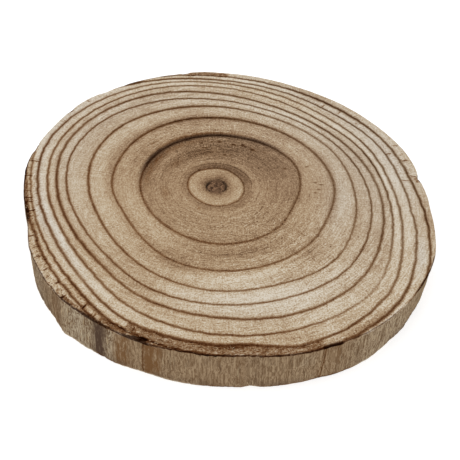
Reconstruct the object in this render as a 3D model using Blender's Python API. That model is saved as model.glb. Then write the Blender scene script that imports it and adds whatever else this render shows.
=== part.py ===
"""Wood slice: a round cut from a bare stem, lying flat on its sawn underside, with its growth lines in the top face.

The rows of points below run round the stem. Each row holds radii in millimetres from the pith, at equal steps
anticlockwise from +X, and -Y is the side that faces the viewer.
"""

import math

import bmesh
import bpy
from mathutils import Vector

MM = 0.001

# The cut
THICKNESS = 25.5 * MM
OUTLINE_MM = (
    125.5, 123.5, 120, 118, 117, 119, 121, 122.5,
    124.5, 125.5, 122.5, 120.5, 117, 114, 118, 122,
    123.5, 126.5, 129, 134, 138, 139.5, 137.5, 131,
)
# Small bumps and nicks of the outline and of the underside's edge: the direction in degrees, how far each stands out
# in millimetres, and half its width in degrees
RIM_BUMPS = ((3, -1.0, 4), (96, 1.4, 7), (111, 0.6, 6), (126, -1.4, 5), (172, 0.7, 8))
FOOT_BUMPS = ((236, 1.1, 12), (254, -0.8, 6), (268, 0.9, 8), (301, 0.9, 9), (322, -0.6, 10))
# The stem leans through the cut and narrows downwards, so the underside's outline is moved and a little smaller
LEAN = Vector((-2.0, -1.0)) * MM
TAPER = 0.8 * MM
RIM_BEVEL = 0.3 * MM
FOOT_BEVEL = 0.5 * MM
# The wall swells slightly halfway down
WALL_SWELL = 0.3 * MM

# The pith, a soft round core that has sunk below the sawn face
PITH_RADIUS = 6.0 * MM
PITH_SHOULDER = 1.0 * MM
PITH_DEPTH = 0.9 * MM
PITH_DISH = 0.3 * MM

# Growth lines, from the pith outwards. A radius past the outline means that the line has run out at the rim there
GROWTH_LINES_MM = (
    (16.5, 16, 15.5, 16.5, 17, 17.5, 18, 18, 17, 16.5, 16.5, 17, 18, 18.5, 18.5, 17.5),
    (50.5, 52.5, 51, 49.5, 49.5, 49.5, 49, 47.5, 46, 44.5, 45, 46.5, 49.5, 50.5, 51, 49),
    (71, 69, 67.5, 67, 68.5, 69.5, 69, 65.5, 63, 59, 60.5, 66, 70.5, 72.5, 73, 71),
    (82.5, 80.5, 78, 78, 81, 84, 86.5, 82.5, 77, 73.5, 75, 80, 85.5, 88, 91, 87),
    (91, 86.5, 83.5, 84, 88.5, 95, 99.5, 97, 90.5, 85, 84.5, 90.5, 95, 98.5, 100.5, 96.5),
    (97.5, 92, 88.5, 89.5, 95.5, 103.5, 107, 103.5, 96.5, 91.5, 91, 97.5, 104, 110, 110.5, 104),
    (101.5, 97.5, 94, 97, 103, 109.5, 112.5, 109.5, 102, 97, 97.5, 107, 115.5, 120, 120.5, 110),
    (106, 102.5, 99.5, 103, 108, 115.5, 118.5, 116, 108, 102.5, 104.5, 115.5, 122, 129.5, 128.5, 116),
    (113, 109.5, 105.5, 107.5, 111.5, 119.5, 123, 120, 112, 108.5, 110.5, 120, 128.5, 136, 136, 124),
    (119.5, 115, 112, 113, 116.5, 123, 128, 123.5, 115, 112, 115.5, 126, 133, 140.5, 140.5, 132),
)
LINE_HALF_WIDTH = 0.7 * MM
LINE_DEPTH = 0.4 * MM
# A line grows shallower over this distance before it reaches the rim
LINE_FADE = 3.0 * MM
# Lines that crowd together at the rim keep at least this far apart
LINE_SPACING = 1.6 * MM

# Points round the stem in each row of the mesh
DIRECTIONS = 96
SMOOTH_ANGLE = math.radians(35)

WOOD_COLOUR = (0.48, 0.35, 0.23, 1.0)
WOOD_ROUGHNESS = 0.75


def around(radii_mm, direction):
    """The radius in metres, in any direction in degrees, on a smooth closed curve through equally spaced radii."""
    count = len(radii_mm)
    place = direction * count / 360
    first = math.floor(place)
    part = place - first
    before, start, end, after = (radii_mm[(first + step) % count] for step in (-1, 0, 1, 2))
    slope_in = (end - before) / 2
    slope_out = (after - start) / 2
    rise = end - start
    bend = 3 * rise - 2 * slope_in - slope_out
    twist = slope_in + slope_out - 2 * rise
    return (start + part * (slope_in + part * (bend + part * twist))) * MM


def turn_between(direction, other):
    """The smaller angle between two directions, in degrees."""
    return abs((direction - other + 180) % 360 - 180)


def bumps_at(bumps, direction):
    """How far small bumps stand out in one direction."""
    height = 0
    for centre, height_mm, half_width in bumps:
        height += height_mm * MM * max(0, 1 - turn_between(direction, centre) / half_width)
    return height


def outline(direction):
    """The radius of the top face's rim."""
    return around(OUTLINE_MM, direction) + bumps_at(RIM_BUMPS, direction)


def growth_lines(direction):
    """The radius and depth of each growth line's groove, kept in order and inside the rim."""
    rim = outline(direction)
    lines = []
    room = rim - RIM_BEVEL - LINE_SPACING
    for radii_mm in reversed(GROWTH_LINES_MM):
        radius = around(radii_mm, direction)
        fade = max(0, min(1, (rim - radius) / LINE_FADE))
        radius = min(radius, room)
        lines.insert(0, (radius, LINE_DEPTH * fade))
        room = radius - LINE_SPACING
    return lines


def section(direction):
    """Points of the skin in one direction: from the pith over the top face and the rim to the underside."""
    ray = Vector((math.cos(math.radians(direction)), math.sin(math.radians(direction))))
    skin = [
        (PITH_RADIUS / 2, THICKNESS - PITH_DEPTH),
        (PITH_RADIUS, THICKNESS - PITH_DEPTH + PITH_DISH),
        (PITH_RADIUS + PITH_SHOULDER, THICKNESS),
    ]
    for radius, depth in growth_lines(direction):
        skin.append((radius - LINE_HALF_WIDTH, THICKNESS))
        skin.append((radius, THICKNESS - depth))
        skin.append((radius + LINE_HALF_WIDTH, THICKNESS))
    rim = outline(direction)
    skin.append((rim - RIM_BEVEL, THICKNESS))
    skin.append((rim, THICKNESS - RIM_BEVEL))
    skin.append((rim + WALL_SWELL, THICKNESS / 2))
    skin.append((rim, FOOT_BEVEL))
    skin.append((rim - FOOT_BEVEL, 0))
    foot_bump = bumps_at(FOOT_BUMPS, direction)
    points = []
    for radius, height in skin:
        on_wall = radius > rim - RIM_BEVEL
        below = (THICKNESS - height) / THICKNESS if on_wall or height == 0 else 0
        flat = ray * (radius + (foot_bump - TAPER) * below) + LEAN * below
        points.append((flat.x, flat.y, height))
    return points


def join_rows(mesh, inner, outer):
    """A band of faces between two rows of points that run round the stem."""
    for index in range(DIRECTIONS):
        following = (index + 1) % DIRECTIONS
        mesh.faces.new((inner[index], outer[index], outer[following], inner[following]))


def close_row(mesh, row, centre, facing_up):
    """A fan of faces from a row to its middle point."""
    for index in range(DIRECTIONS):
        following = (index + 1) % DIRECTIONS
        corners = (centre, row[index], row[following])
        mesh.faces.new(corners if facing_up else corners[::-1])


def stand_on_origin(mesh):
    """Moves the slice so that the middle of its length and width lies over the origin."""
    for axis in (0, 1):
        places = [vertex.co[axis] for vertex in mesh.verts]
        middle = (min(places) + max(places)) / 2
        for vertex in mesh.verts:
            vertex.co[axis] -= middle


def wood_material():
    material = bpy.data.materials.new("sanded_wood")
    material.use_nodes = True
    shader = material.node_tree.nodes["Principled BSDF"]
    shader.inputs["Base Color"].default_value = WOOD_COLOUR
    shader.inputs["Roughness"].default_value = WOOD_ROUGHNESS
    shader.inputs["Metallic"].default_value = 0.0
    return material


def build_slice():
    mesh = bmesh.new()
    sections = [section(360 * step / DIRECTIONS) for step in range(DIRECTIONS)]
    rows = [[mesh.verts.new(point) for point in row] for row in zip(*sections)]
    pith = mesh.verts.new((0, 0, THICKNESS - PITH_DEPTH))
    underside_middle = mesh.verts.new((LEAN.x, LEAN.y, 0))
    close_row(mesh, rows[0], pith, facing_up=True)
    for inner, outer in zip(rows, rows[1:]):
        join_rows(mesh, inner, outer)
    close_row(mesh, rows[-1], underside_middle, facing_up=False)
    stand_on_origin(mesh)

    data = bpy.data.meshes.new("wood_slice")
    mesh.to_mesh(data)
    mesh.free()
    data.shade_smooth()
    data.set_sharp_from_angle(angle=SMOOTH_ANGLE)
    data.materials.append(wood_material())
    bpy.context.scene.collection.objects.link(bpy.data.objects.new("wood_slice", data))


def main():
    for leftover in list(bpy.data.objects):
        bpy.data.objects.remove(leftover)
    build_slice()


main()
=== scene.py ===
"""Wood slice: the finish of a round cut from a bare stem, made round its fixed frame.

Lengths are in metres, unless a name ends in _mm. Directions are in degrees, anticlockwise from +X as
seen from above, and radii are measured from the pith. The age of a point counts growth lines from the
pith outwards: it is 0 at the pith's edge, 1 on the first line, 2 on the second and so on.
"""

import math

import bpy
import numpy as np
from bpy.props import FloatProperty, FloatVectorProperty, IntProperty, PointerProperty
from bpy.types import Operator, Panel, PropertyGroup
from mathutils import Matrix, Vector, noise


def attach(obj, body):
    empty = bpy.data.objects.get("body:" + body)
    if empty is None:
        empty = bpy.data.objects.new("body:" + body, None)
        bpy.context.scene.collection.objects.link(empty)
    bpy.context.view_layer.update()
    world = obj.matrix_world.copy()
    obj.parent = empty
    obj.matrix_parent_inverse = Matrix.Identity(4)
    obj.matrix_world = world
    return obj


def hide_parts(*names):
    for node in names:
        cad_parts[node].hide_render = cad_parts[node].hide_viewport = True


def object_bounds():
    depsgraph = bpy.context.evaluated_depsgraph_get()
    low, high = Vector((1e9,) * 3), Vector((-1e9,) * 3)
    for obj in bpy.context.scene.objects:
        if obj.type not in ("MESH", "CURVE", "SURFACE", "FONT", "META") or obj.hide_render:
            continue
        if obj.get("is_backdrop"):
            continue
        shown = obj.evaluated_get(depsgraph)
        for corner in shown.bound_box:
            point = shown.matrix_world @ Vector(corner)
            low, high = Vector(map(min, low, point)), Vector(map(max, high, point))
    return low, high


bl_info = {
    "name": "Wood slice",
    "version": (1, 0, 0),
    "blender": (4, 5, 0),
    "location": "View3D > Sidebar > Wood slice",
    "description": "Makes a round cut from a bare stem, with its growth lines, worn edge and fibrous wall",
    "category": "Object",
}

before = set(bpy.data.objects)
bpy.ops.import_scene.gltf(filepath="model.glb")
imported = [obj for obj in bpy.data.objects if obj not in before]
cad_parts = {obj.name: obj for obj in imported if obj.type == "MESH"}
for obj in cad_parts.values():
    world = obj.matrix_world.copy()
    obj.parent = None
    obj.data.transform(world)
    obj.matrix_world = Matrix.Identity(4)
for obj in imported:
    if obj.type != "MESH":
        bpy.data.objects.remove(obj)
CAD_LOW, CAD_HIGH = (np.array(corner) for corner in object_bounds())
THICKNESS = float(CAD_HIGH[2] - CAD_LOW[2])
MM = 0.001

# The stem's outline at the top face, at equal steps round the pith, and its small bumps and nicks: the
# direction, how far each stands out in millimetres, and half its width in degrees
OUTLINE_MM = (
    125.5, 123.5, 120, 118, 117, 119, 121, 122.5,
    124.5, 125.5, 122.5, 120.5, 117, 114, 118, 122,
    123.5, 126.5, 129, 134, 138, 139.5, 137.5, 131,
)
RIM_BUMPS = ((3, -1.0, 4), (96, 1.4, 7), (111, 0.6, 6), (126, -1.4, 5), (172, 0.7, 8))
FOOT_BUMPS = ((236, 1.1, 12), (254, -0.8, 6), (268, 0.9, 8), (301, 0.9, 9), (322, -0.6, 10))
# Where the worn edge stands out from the frame's outline or lies inside it, at the rim and at the foot
RIM_DENTS = (
    (278, -1.2, 9), (262, -0.5, 7), (3, -0.4, 1.6), (224, -0.4, 2), (296, -0.4, 2), (75, -0.6, 16),
    (129, -0.8, 5), (335, 0.7, 9), (350, -0.6, 5), (206, 0.8, 8), (169, 0.5, 5), (306, 0.4, 10),
)
FOOT_DENTS = (
    (229, 1.3, 3.5), (217, 0.5, 8), (246, 0.6, 6), (279.5, -1.0, 2.5), (294.5, -0.5, 3), (307, 0.7, 7),
    (320, 0.7, 5), (332, 0.8, 8), (260, 0.3, 8),
)
# Ledges in the wall: the direction of the sharp side, how far the wall lies back on its clockwise side in
# millimetres, and over how many degrees that fades
WALL_LEDGES = ((224, -0.8, 15),)
# The stem leans through the cut and narrows downwards
LEAN = np.array((-2.0, -1.0)) * MM
TAPER = 0.8 * MM
WALL_SWELL = 0.3 * MM
# The frame's own corners lie at this many directions, which places the pith in its box
FRAME_DIRECTIONS = 96
# The finished skin stays this far inside the frame, so that no fibre leaves its box
SKIN_MARGIN = 0.2 * MM
# The loose fibres and chips stay this far inside it
BOX_MARGIN = SKIN_MARGIN / 4

# Growth lines, from the pith outwards, at equal steps round it. They waver more than the frame's grooves
GROWTH_LINES_MM = (
    (16.5, 15.8, 15.5, 16.2, 16.6, 17.1, 18, 18,
     17.1, 16.5, 16.2, 16.8, 17.6, 18, 18.2, 17.4),
    (50.8, 52.6, 51.1, 49.5, 49.4, 49.4, 49, 47.6,
     46.1, 44.6, 44.8, 46.6, 49.5, 50.9, 51.1, 49.1),
    (71.4, 69.5, 67.6, 67.2, 68.4, 69.9, 69.1, 66,
     63.2, 59, 60.8, 66.5, 70.3, 72.2, 72.8, 71),
    (82.8, 80.5, 78.1, 77.8, 80.9, 84.4, 86.4, 83.1,
     77.4, 73.5, 75.1, 80.1, 85.2, 87.6, 91.1, 87),
    (91.1, 86.6, 83.7, 84, 88.6, 95.3, 99.4, 97.5,
     90.7, 84.8, 84.6, 90.6, 94.9, 98.2, 100.6, 96.3),
    (97.4, 91.9, 88.6, 89.6, 95.8, 103.9, 107, 104.3,
     96.6, 91, 90.9, 98.1, 103.8, 110, 110.7, 103.9),
    (101.8, 97.6, 94, 97, 103.5, 110.4, 112.5, 109.8,
     102.2, 96.4, 97.8, 107.4, 115.2, 120.1, 120.5, 109.8),
    (106.2, 102.5, 99.8, 102.6, 108.4, 115.7, 118.8, 116.6,
     108.2, 102.4, 104.9, 115.6, 122, 130.3, 128.6, 115.6),
    (113.1, 109.7, 105.8, 107.5, 111.9, 120.2, 127.5, 122.3,
     112.4, 108.1, 110.6, 121.2, 128.5, 136, 135.9, 123.7),
    (119.5, 115.4, 112.1, 112.4, 116.6, 124, 131, 127,
     115, 112, 115.5, 126, 133, 140.5, 140.5, 131),
)
# Where a line swings out or in: the line, the direction, how far in millimetres, and half the swing's
# width in degrees
LINE_BENDS = (
    (10, 328, 1.9, 8), (10, 202, -0.8, 6), (9, 150, 1.5, 14), (8, 279, -2.5, 8), (8, 290, 0.6, 5),
    (10, 335, 0.9, 5), (9, 349, -0.9, 5), (9, 309, -0.5, 6), (8, 311, -0.6, 7),
)
# How dark each line is, from 0 to 1, and half its width
LINE_DARKNESS = (0.55, 0.54, 0.58, 0.66, 0.76, 0.84, 0.86, 0.86, 0.78, 0.76)
LINE_HALF_WIDTH_MM = (0.6, 0.75, 0.7, 0.64, 0.62, 0.85, 0.72, 0.78, 0.72, 0.7)
# Where a line is darker and wider, by the line's number: the direction and half width in degrees, and how
# much is added to its darkness and to its half width in millimetres
LINE_PATCHES = {
    1: ((70, 60, 0.15, 0.1), (190, 40, 0, 0.1), (262, 22, 0.12, 0)),
    2: (
        (158, 14, 0.05, 0.05), (205, 22, -0.12, 0), (262, 16, 0.05, 0.1), (318, 14, -0.1, 0),
        (45, 10, -0.1, 0),
    ),
    3: (
        (95, 50, 0.42, 0.5), (0, 35, 0.06, 0.2), (282, 14, 0.08, 0), (250, 14, -0.12, 0),
        (322, 12, -0.12, 0),
    ),
    4: (
        (100, 55, 0.33, 0.35), (185, 40, 0.1, 0.2), (106, 12, 0.15, 0.1), (332, 14, -0.1, 0),
        (36, 14, -0.22, 0), (68, 16, -0.1, 0),
    ),
    5: (
        (100, 50, 0.25, 0.1), (195, 25, 0.05, 0.1), (18, 11, 0.25, 0), (218, 14, -0.15, 0),
        (248, 6, 0.15, 0),
    ),
    6: (
        (110, 60, 0.25, 0.1), (200, 40, 0.15, 0.1), (236, 12, -0.2, 0), (316, 10, -0.25, 0),
        (0, 10, -0.2, 0), (147, 16, -0.25, 0), (273, 10, 0.12, 0), (38, 28, 0.12, -0.06),
    ),
    7: (
        (205, 45, 0.05, 0.15), (100, 60, 0.05, 0), (12, 9, 0.38, 0), (315, 18, -0.55, 0),
        (80, 16, -0.2, 0), (165, 14, -0.12, 0), (212, 8, -0.15, 0), (240, 14, -0.22, 0),
        (38, 28, 0.14, -0.08),
    ),
    8: (
        (205, 35, 0.12, 0.1), (268, 16, 0.3, 0.2), (45, 16, -0.25, 0), (330, 28, -0.15, 0),
        (150, 16, -0.15, 0), (102, 8, -0.15, 0), (164, 18, 0.28, 0), (225, 8, -0.25, 0), (303, 7, 0.2, 0),
        (36, 28, 0.22, -0.08),
    ),
    9: (
        (308, 16, 0.35, 0.35), (228, 18, 0.25, 0.1), (232, 6, 0.05, 0.1), (120, 6, 0.5, 0.4),
        (101, 14, 0.45, 0.3), (180, 14, -0.2, 0), (50, 26, 0.22, 0), (138, 20, -0.45, 0),
        (252, 10, 0.3, 0), (36, 28, 0.14, -0.06),
    ),
    10: (
        (46, 24, 0.6, 0.35), (0, 16, 0.25, 0.1), (80, 26, 0.2, 0), (345, 10, 0.3, 0),
        (192, 14, 0.15, 0.3), (209, 14, 0.25, 0.1), (229, 7, 0.2, 0.15), (328, 7, 0.3, 0.1),
        (106, 10, 0.2, 0),
    ),
}
# Where the lines are greyer: the direction, half width in degrees and strength
LINE_GREYS = ((10, 55, 0.8), (90, 50, 0.55))
# Faint rings: the age, half width in rings and darkness
FALSE_RINGS = (
    (1.02, 0.012, 0.04), (1.07, 0.06, 0.035), (1.15, 0.015, 0.02), (1.29, 0.012, 0.03),
    (1.42, 0.015, 0.03), (1.58, 0.012, 0.03), (1.78, 0.01, 0.03), (2.3, 0.02, 0.02), (2.62, 0.02, 0.025),
)
# Faint rings that run only part of the way round: the direction and half width in degrees come first
PART_RINGS = (
    (70, 60, 1.142, 0.013, 0.13), (70, 65, 1.08, 0.055, 0.055), (75, 60, 1.215, 0.03, -0.03),
    (325, 26, 1.175, 0.013, 0.07), (322, 28, 1.12, 0.05, 0.04), (150, 24, 1.17, 0.012, 0.05),
    (112, 20, 1.19, 0.014, 0.04), (318, 9, 1.48, 0.014, 0.1), (275, 30, 1.3, 0.01, 0.03),
    (262, 34, 1.46, 0.009, 0.035), (120, 22, 1.47, 0.04, 0.05), (283, 15, 2.42, 0.03, 0.08),
    (290, 9, 2.34, 0.02, 0.05), (313, 9, 3.25, 0.04, 0.08), (308, 8, 3.5, 0.03, 0.06),
    (100, 30, 2.33, 0.03, 0.05), (85, 24, 2.55, 0.02, 0.04), (140, 18, 2.5, 0.03, 0.05),
    (120, 26, 3.4, 0.03, 0.04),
)
# Lines that crowd together at the rim keep at least this far apart as rows of points
LINE_SPACING = 1.6 * MM
# The wood outside the last line counts as a ring this wide
LAST_RING = 8 * MM
# A row of points lies this far to each side of a line
ROW_HALF_WIDTH = 0.6 * MM
# Rows of points between each line and the one before it, and from the last line to the rim
ROWS_BEFORE_LINE = (5, 11, 6, 5, 4, 3, 3, 3, 3, 3)
ROWS_BEFORE_RIM = 3
# Rows over the pith, as shares of its radius, and rows over the worn edge, as shares of its width
PITH_ROWS = (0.14, 0.3, 0.45, 0.6, 0.72, 0.84, 0.93, 1.0, 1.08)
EDGE_ROWS = (0, 0.3, 0.65, 1)
# Rows down the wall and across the underside
WALL_ROWS = 17
UNDERSIDE_ROWS = 24
# This many rows next to the rim can hold chips
EDGE_STRIP_ROWS = 22
# Points in each row
DIRECTIONS = 720

# The wood's tone by age, from 0 for black to 1 for white
TONE_BY_AGE = (
    (0, 0.38), (0.25, 0.48), (0.6, 0.56), (0.97, 0.565), (1.02, 0.5), (1.13, 0.495), (1.17, 0.525),
    (1.3, 0.515), (1.6, 0.495), (2, 0.49), (2.15, 0.545), (2.6, 0.565), (2.9, 0.555), (3.1, 0.56),
    (3.4, 0.62), (3.9, 0.625), (4.2, 0.61), (4.5, 0.635), (5.5, 0.645), (6.5, 0.635), (7.3, 0.68),
    (8.5, 0.68), (9.5, 0.68), (10.5, 0.665),
)
# Where the wood is darker or paler than its age alone makes it: the direction and half width in degrees,
# the age and half width in rings, and the change of tone
TONE_PATCHES = (
    (68, 22, 0.5, 0.5, -0.055), (220, 45, 0.5, 0.5, 0.025), (125, 40, 1.56, 0.12, -0.05),
    (70, 65, 1.6, 0.45, -0.1), (275, 80, 1.6, 0.5, 0.03), (137, 18, 1.78, 0.1, 0.05),
    (150, 25, 1.88, 0.1, -0.08), (38, 14, 2.4, 0.3, 0.035), (150, 24, 2.4, 0.25, -0.045),
    (210, 30, 2.4, 0.3, 0.05), (280, 35, 2.4, 0.22, -0.08), (46, 9, 2.8, 0.25, -0.05),
    (338, 13, 2.8, 0.2, 0.03), (105, 30, 2.85, 0.2, -0.05), (250, 13, 2.85, 0.2, -0.06),
    (120, 45, 3.15, 0.2, -0.07), (8, 16, 3.25, 0.2, -0.015), (158, 16, 3.25, 0.2, -0.05),
    (254, 10, 3.25, 0.2, -0.08), (315, 11, 3.3, 0.25, -0.07), (350, 14, 3.3, 0.3, 0.03),
    (240, 16, 3.4, 0.35, -0.06), (285, 30, 3.4, 0.3, 0.065), (10, 22, 3.65, 0.25, -0.015),
    (105, 10, 3.65, 0.2, -0.05), (312, 18, 3.65, 0.25, -0.06), (10, 16, 4.5, 0.5, -0.035),
    (138, 26, 4.5, 0.5, -0.045), (255, 8, 4.5, 0.4, 0.035), (338, 14, 4.5, 0.4, -0.04),
    (238, 20, 4.6, 0.7, -0.06), (285, 30, 4.6, 0.6, 0.075), (68, 28, 4.8, 0.9, 0.05),
    (292, 16, 5.4, 0.4, 0.04), (332, 15, 5.4, 0.5, -0.06), (15, 20, 5.5, 0.4, -0.03),
    (50, 12, 5.5, 0.5, 0.04), (112, 12, 5.5, 0.4, -0.04), (238, 12, 5.5, 0.5, -0.06),
    (212, 18, 5.8, 0.7, -0.03), (45, 9, 6.5, 0.4, 0.045), (75, 9, 6.5, 0.4, -0.03),
    (180, 24, 6.5, 0.4, 0.03), (240, 20, 6.5, 0.4, -0.04), (278, 20, 6.5, 0.4, -0.035),
    (300, 12, 6.5, 0.4, 0.05), (326, 12, 6.5, 0.4, -0.05), (8, 30, 7.5, 0.4, 0.06),
    (92, 10, 7.5, 0.4, 0.04), (197, 24, 7.5, 0.4, 0.055), (272, 12, 7.5, 0.4, -0.03),
    (288, 7, 7.5, 0.4, -0.1), (308, 16, 7.5, 0.4, -0.055), (276, 9, 8.3, 0.22, -0.1),
    (2, 16, 8.5, 0.35, 0.025), (45, 8, 8.5, 0.35, -0.06), (96, 14, 8.5, 0.35, 0.055),
    (135, 30, 8.5, 0.35, 0.03), (165, 18, 8.5, 0.35, 0.045), (195, 8, 8.5, 0.35, 0.035),
    (242, 7, 8.5, 0.35, 0.03), (302, 9, 8.5, 0.35, -0.11), (320, 10, 8.5, 0.35, -0.03),
    (231, 7, 9.15, 0.2, -0.1), (239, 8, 9.25, 0.2, -0.12), (346, 5, 9.4, 0.3, -0.04),
    (18, 20, 9.5, 0.4, 0.03), (82, 18, 9.5, 0.4, 0.07), (184, 18, 9.5, 0.5, -0.02),
    (240, 12, 9.5, 0.35, -0.04), (312, 12, 9.5, 0.5, 0.05), (346, 7, 10.3, 0.5, -0.09),
    (24, 12, 10.4, 0.4, 0.03), (58, 10, 10.4, 0.4, -0.05), (215, 9, 10.4, 0.4, -0.03),
    (312, 12, 10.4, 0.5, 0.01),
)
# Where the rings are rougher: the direction, half width in degrees and strength
COARSE = ((95, 50, 0.8), (240, 30, 0.2), (310, 26, 0.7), (270, 30, 0.3))
# Where the wood has paled to grey: the direction and half width in degrees, the age and half width in
# rings, and the strength
BLEACHED = (
    (350, 22, 3.3, 0.5, 0.3), (40, 55, 4.6, 2.4, 0.3), (285, 26, 5.0, 1.2, 0.25),
    (150, 55, 5.5, 1.8, 0.4), (5, 45, 6.2, 2.6, 0.35), (205, 20, 7.5, 0.4, 0.5),
    (170, 45, 8.0, 0.6, 0.55), (195, 8, 8.5, 0.4, 0.5), (15, 30, 9.3, 1.4, 0.6), (142, 14, 9.3, 0.8, 0.6),
    (333, 6, 9.4, 0.4, 0.6), (60, 30, 9.5, 1.2, 0.4),
)
# The second line is smeared on the far side of the heart: black along the line, brown outside it and
# brown streaks inside it. Each entry is a direction and half width in degrees, and a strength
SMEARS = ((100, 36, 0.95), (146, 18, 0.8), (57, 16, 0.45))
HALOS = ((106, 32, 1.1),)
INNER_STREAKS = ((150, 24, 0.9), (112, 14, 0.5))
# Small flaws in the face: the direction, the radius, half the length along the ring and half the width
# across it in millimetres, and the strength
FLAWS = (
    (234.5, 118, 0.5, 2.2, 1.2), (228, 120.9, 0.6, 1.3, 1.2), (142, 123, 1.2, 0.6, 1.6),
    (101, 121.6, 0.8, 0.7, 1.4), (161.5, 122, 1.4, 0.5, 1.6), (117.5, 121.7, 6, 0.8, 0.6),
    (274, 124.2, 11, 1.2, 0.4), (246, 121.5, 3, 1.2, 0.35), (67.5, 42.8, 0.9, 0.8, 2.0),
    (64.5, 42, 0.8, 0.5, 1.5), (57, 41.5, 1.8, 0.9, 1.0), (75, 41.2, 1.3, 0.7, 1.5),
    (88, 43, 1.1, 0.7, 1.3), (80.5, 30, 0.8, 0.6, 1.3), (101.5, 37.8, 1.6, 0.45, 1.3),
    (103.5, 43, 1, 0.5, 1.2), (94, 43, 1.5, 0.35, 0.7), (74, 30.7, 0.6, 0.4, 0.8), (21, 45, 0.6, 1, 0.8),
    (125, 18.6, 0.7, 0.5, 0.8), (47, 43.8, 0.9, 0.4, 0.6), (134, 58, 2.6, 0.4, 0.8),
    (243, 22.4, 0.8, 1, 0.4), (355, 31.3, 1, 0.5, 0.6), (192, 31, 5, 2.2, 0.18), (140, 33, 5, 2.5, 0.2),
    (100, 33, 10, 5, 0.14), (3, 60, 0.5, 1.3, 0.8), (1, 63.5, 0.5, 1.2, 0.9), (357, 62, 0.4, 1.4, 0.7),
    (354, 60, 0.6, 0.9, 0.7), (18, 59, 0.6, 1.2, 0.6), (320, 64, 0.5, 2.5, 0.4), (292, 82, 0.5, 1.6, 0.5),
)
# Blackened spots at the rim, in the same terms
BLOTS = (
    (248.6, 124.7, 2.6, 0.6, 1.1), (250.8, 124.2, 3, 1.1, 1.3), (253.1, 124, 2.2, 1.6, 1.3),
    (238.5, 123, 4.5, 0.8, 0.8), (296.6, 136.8, 2.6, 0.8, 1.0), (235.5, 121.8, 5, 0.6, 0.5),
    (191.5, 124, 2.4, 0.8, 0.5),
)
# Brown, crumbling wood near the rim: the middle and half width in degrees, how far in from the rim it
# starts and ends in millimetres, and its strength
CRUMBLED = (
    (180, 12, -1, 1.3, 0.5), (191, 3.5, -1, 1.9, 0.9), (200, 3, 4.5, 7.5, 0.25),
    (244.5, 4, 0.6, 4.2, 0.75), (251.5, 4, 3.2, 14, 0.7), (262, 10, -1, 14, 1.0),
    (276.5, 8, -1, 14, 0.95), (289.5, 6, 0.3, 14, 0.45), (232.5, 6, 0.3, 2.8, 0.5),
    (93.5, 6.5, 0.5, 4.5, 0.8), (2.6, 1.3, -1, 3, 0.4), (47, 4, 1.5, 5, 0.2),
)
# Crumbling wood lies outside this line
CRUMBLED_FROM_AGE = 8.02
# The dark line along the rim: the direction, half width in degrees, strength, and half its thickness in
# millimetres
RIM_LINES = (
    (182, 17, 0.65, 0.6), (192, 3.5, 0.9, 0.9), (205, 8, 0.5, 0.2), (218, 12, 0.7, 0.2),
    (233, 6, 0.9, 0.45), (238.7, 3.6, 1.0, 1.0), (245, 4, 0.8, 0.3), (251, 4, 1.0, 0.9),
    (275, 22, 0.7, 0.25), (296.5, 2.4, 1.0, 0.9), (306, 9, 0.45, 0.2), (117, 7, 0.5, 0.6),
    (142, 1.5, 0.8, 0.4), (328, 6, 0.7, 0.25), (101, 1.2, 0.9, 0.6), (162, 2, 0.8, 0.4),
    (3, 1.5, 0.6, 0.3),
)
# Short drying cracks: the direction, where it starts and ends inwards of the rim in millimetres, how far
# it leans sideways for each millimetre inwards, and its strength
# The dark drawn along each crack is painted shade inside the split
CRACKS = (
    (168, 0, 7, 0.05, 0.8), (171.5, 1.5, 4, 0, 0.5), (175, 1, 5, 0.05, 0.7), (179, 2, 5, 0, 0.5),
    (182, 2, 5, 0.1, 0.5), (185.2, 0.5, 5.5, 0.02, 1.0), (187, 0.8, 5, 0.05, 0.8),
    (191.3, 0.8, 5.5, -0.05, 1.0), (193.8, 1, 4, 0, 0.6), (197.5, 2.5, 5, 0.1, 0.5),
    (202.2, 0.3, 3, 0.1, 1.0), (204.5, 4, 6, 0.3, 0.8), (207, 2, 5.5, 0.15, 0.7),
    (210.8, 2, 4.6, 0.35, 1.0), (213, 5, 7, 0.2, 0.6), (216.6, 2, 5.2, 0.1, 1.0),
    (219.5, 1, 2.5, -0.2, 0.6), (222.6, 3.2, 5.6, 0.25, 1.0), (225, 1, 2.4, 0.3, 0.7),
    (227.6, 0.3, 3, 0.3, 1.0), (229.8, 1.2, 2.8, -0.2, 0.7), (234.5, 2.8, 6, -0.05, 1.0),
    (238.5, 1.5, 4, 0.1, 0.7), (249.5, 5, 7.5, 0.1, 0.8), (11.5, 1.8, 5.5, 0.03, 0.8),
    (19, 1, 3.2, 0, 0.8), (16, 9.5, 12.5, 0.05, 0.8), (2.5, 7, 10, 0.1, 0.7), (42.5, 7.5, 10, 0, 0.6),
    (49, 8.5, 11, 0, 0.7), (135, 0.8, 3, 0, 0.7), (34.5, 8, 9.5, 0, 0.6), (4, 1, 4.5, 0.4, 0.8),
)
# Dark lines that run down the wall: the direction and strength. The one at 224.1 is painted shadow beside
# the wall's ledge
WALL_LINES_AND_LEDGE_SHADOW = ((224.1, 1.0), (294.9, 0.5), (253.3, 0.4))
# Wood that is open and flecked: the middle and half width in degrees, how far in from the rim it starts
# and ends in millimetres, and its strength
FLECKED = (
    (214, 22, -1, 6, 1.0), (205, 34, -1, 12, 0.6), (15, 22, -1, 11, 0.5), (140, 22, -1, 9, 0.45),
    (300, 22, -1, 6, 0.6), (235, 12, 3, 8, 0.7), (60, 30, -1, 6, 0.35), (275, 25, 7, 16, 0.25),
)
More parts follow.
